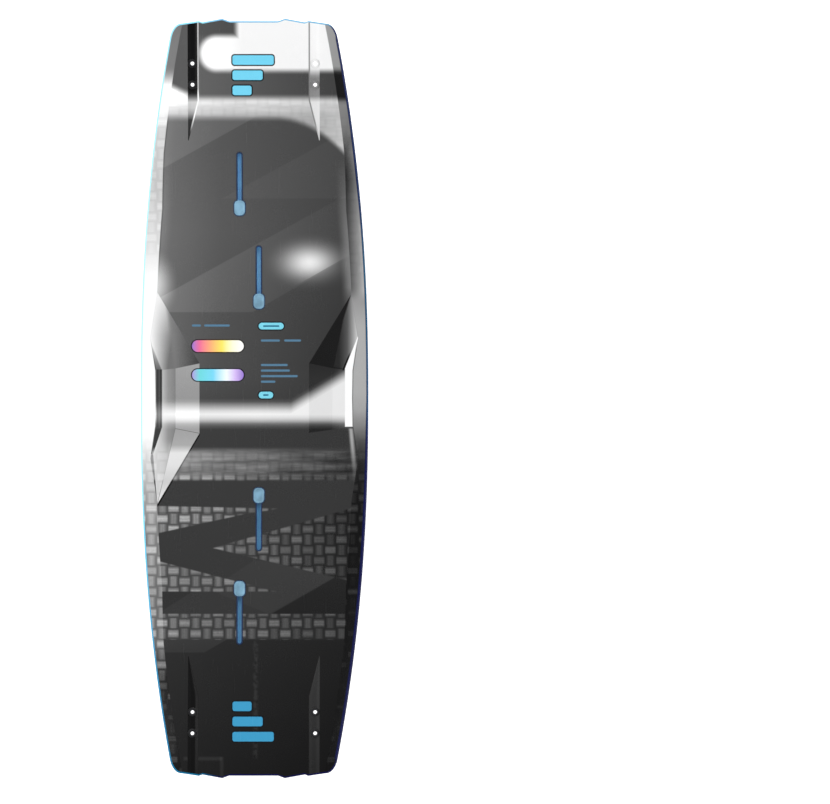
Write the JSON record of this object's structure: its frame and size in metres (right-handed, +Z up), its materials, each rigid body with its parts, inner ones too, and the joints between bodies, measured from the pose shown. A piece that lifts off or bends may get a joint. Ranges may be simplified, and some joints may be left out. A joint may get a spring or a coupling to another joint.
{
  "type": "kiteboard",
  "caption": "Twin-tip kiteboard with a faceted deck, channelled rockered base, sliding T-nuts in keyhole binding tracks and paired fin holes.",
  "frame": {"origin": "on the floor under the middle of the board, at the lowest line of the base", "axes": "+Z up out of the deck, +Y along the board towards the nose, +X towards the right rail seen from above with the nose away"},
  "size_m": [0.41, 1.36, 0.0501],
  "materials": {
    "deck_gloss": "printed gloss sheet with a light carbon-weave relief",
    "base_gloss": "printed gloss sheet",
    "laminate": "carbon and glass laminate in epoxy",
    "wood_core": "sanded paulownia strips",
    "rail_abs": "blue ABS, lightly polished",
    "track_plastic": "moulded fibre-filled nylon",
    "plug_plastic": "moulded soft-touch plastic",
    "insert_plastic": "dense insert plastic",
    "bush_plastic": "moulded black nylon",
    "stainless_steel": "pressed stainless steel"
  },
  "bodies": {
    "board": {"top_sheet": "deck_gloss", "deck_laminate": "laminate", "base_laminate": "laminate", "base_sheet": "base_gloss", "core_left_edge": "wood_core", "core_left_fin": "wood_core", "core_left_inner": "wood_core", "core_outer_track": "wood_core", "core_middle": "wood_core", "core_inner_track": "wood_core", "core_right_inner": "wood_core", "core_right_fin": "wood_core", "core_right_edge": "wood_core", "left_rail": "rail_abs", "right_rail": "rail_abs", "nose_rail": "rail_abs", "tail_rail": "rail_abs", "track_nose_inner": "track_plastic", "track_nose_outer": "track_plastic", "track_tail_inner": "track_plastic", "track_tail_outer": "track_plastic", "fin_block_nose_left": "insert_plastic", "fin_bush_nose_left_a": "bush_plastic", "fin_bush_nose_left_b": "bush_plastic", "fin_block_nose_right": "insert_plastic", "fin_bush_nose_right_a": "bush_plastic", "fin_bush_nose_right_b": "bush_plastic", "fin_block_tail_left": "insert_plastic", "fin_bush_tail_left_a": "bush_plastic", "fin_bush_tail_left_b": "bush_plastic", "fin_block_tail_right": "insert_plastic", "fin_bush_tail_right_a": "bush_plastic", "fin_bush_tail_right_b": "bush_plastic"},
    "nut_nose_inner": {"nut_nose_inner": "stainless_steel"},
    "plug_nose_inner": {"plug_nose_inner": "plug_plastic"},
    "nut_nose_outer": {"nut_nose_outer": "stainless_steel"},
    "plug_nose_outer": {"plug_nose_outer": "plug_plastic"},
    "nut_tail_inner": {"nut_tail_inner": "stainless_steel"},
    "plug_tail_inner": {"plug_tail_inner": "plug_plastic"},
    "nut_tail_outer": {"nut_tail_outer": "stainless_steel"},
    "plug_tail_outer": {"plug_tail_outer": "plug_plastic"}
  },
  "joints": [
    {"name": "nut_nose_inner_slide", "type": "slide", "parent": "board", "child": "nut_nose_inner", "axis": [0, 0.9996, 0.0281], "range_m": [0, 0.094]},
    {"name": "plug_nose_inner_lift", "type": "slide", "parent": "board", "child": "plug_nose_inner", "axis": [0, -0.0281, 0.9996], "range_m": [0, 0.03]},
    {"name": "nut_nose_outer_slide", "type": "slide", "parent": "board", "child": "nut_nose_outer", "axis": [0, 0.9977, 0.0673], "range_m": [0, 0.094]},
    {"name": "plug_nose_outer_lift", "type": "slide", "parent": "board", "child": "plug_nose_outer", "axis": [0, -0.0673, 0.9977], "range_m": [0, 0.03]},
    {"name": "nut_tail_inner_slide", "type": "slide", "parent": "board", "child": "nut_tail_inner", "axis": [0, -0.9996, 0.0281], "range_m": [0, 0.094]},
    {"name": "plug_tail_inner_lift", "type": "slide", "parent": "board", "child": "plug_tail_inner", "axis": [0, 0.0281, 0.9996], "range_m": [0, 0.03]},
    {"name": "nut_tail_outer_slide", "type": "slide", "parent": "board", "child": "nut_tail_outer", "axis": [0, -0.9977, 0.0673], "range_m": [0, 0.094]},
    {"name": "plug_tail_outer_lift", "type": "slide", "parent": "board", "child": "plug_tail_outer", "axis": [0, 0.0673, 0.9977], "range_m": [0, 0.03]}
  ]
}
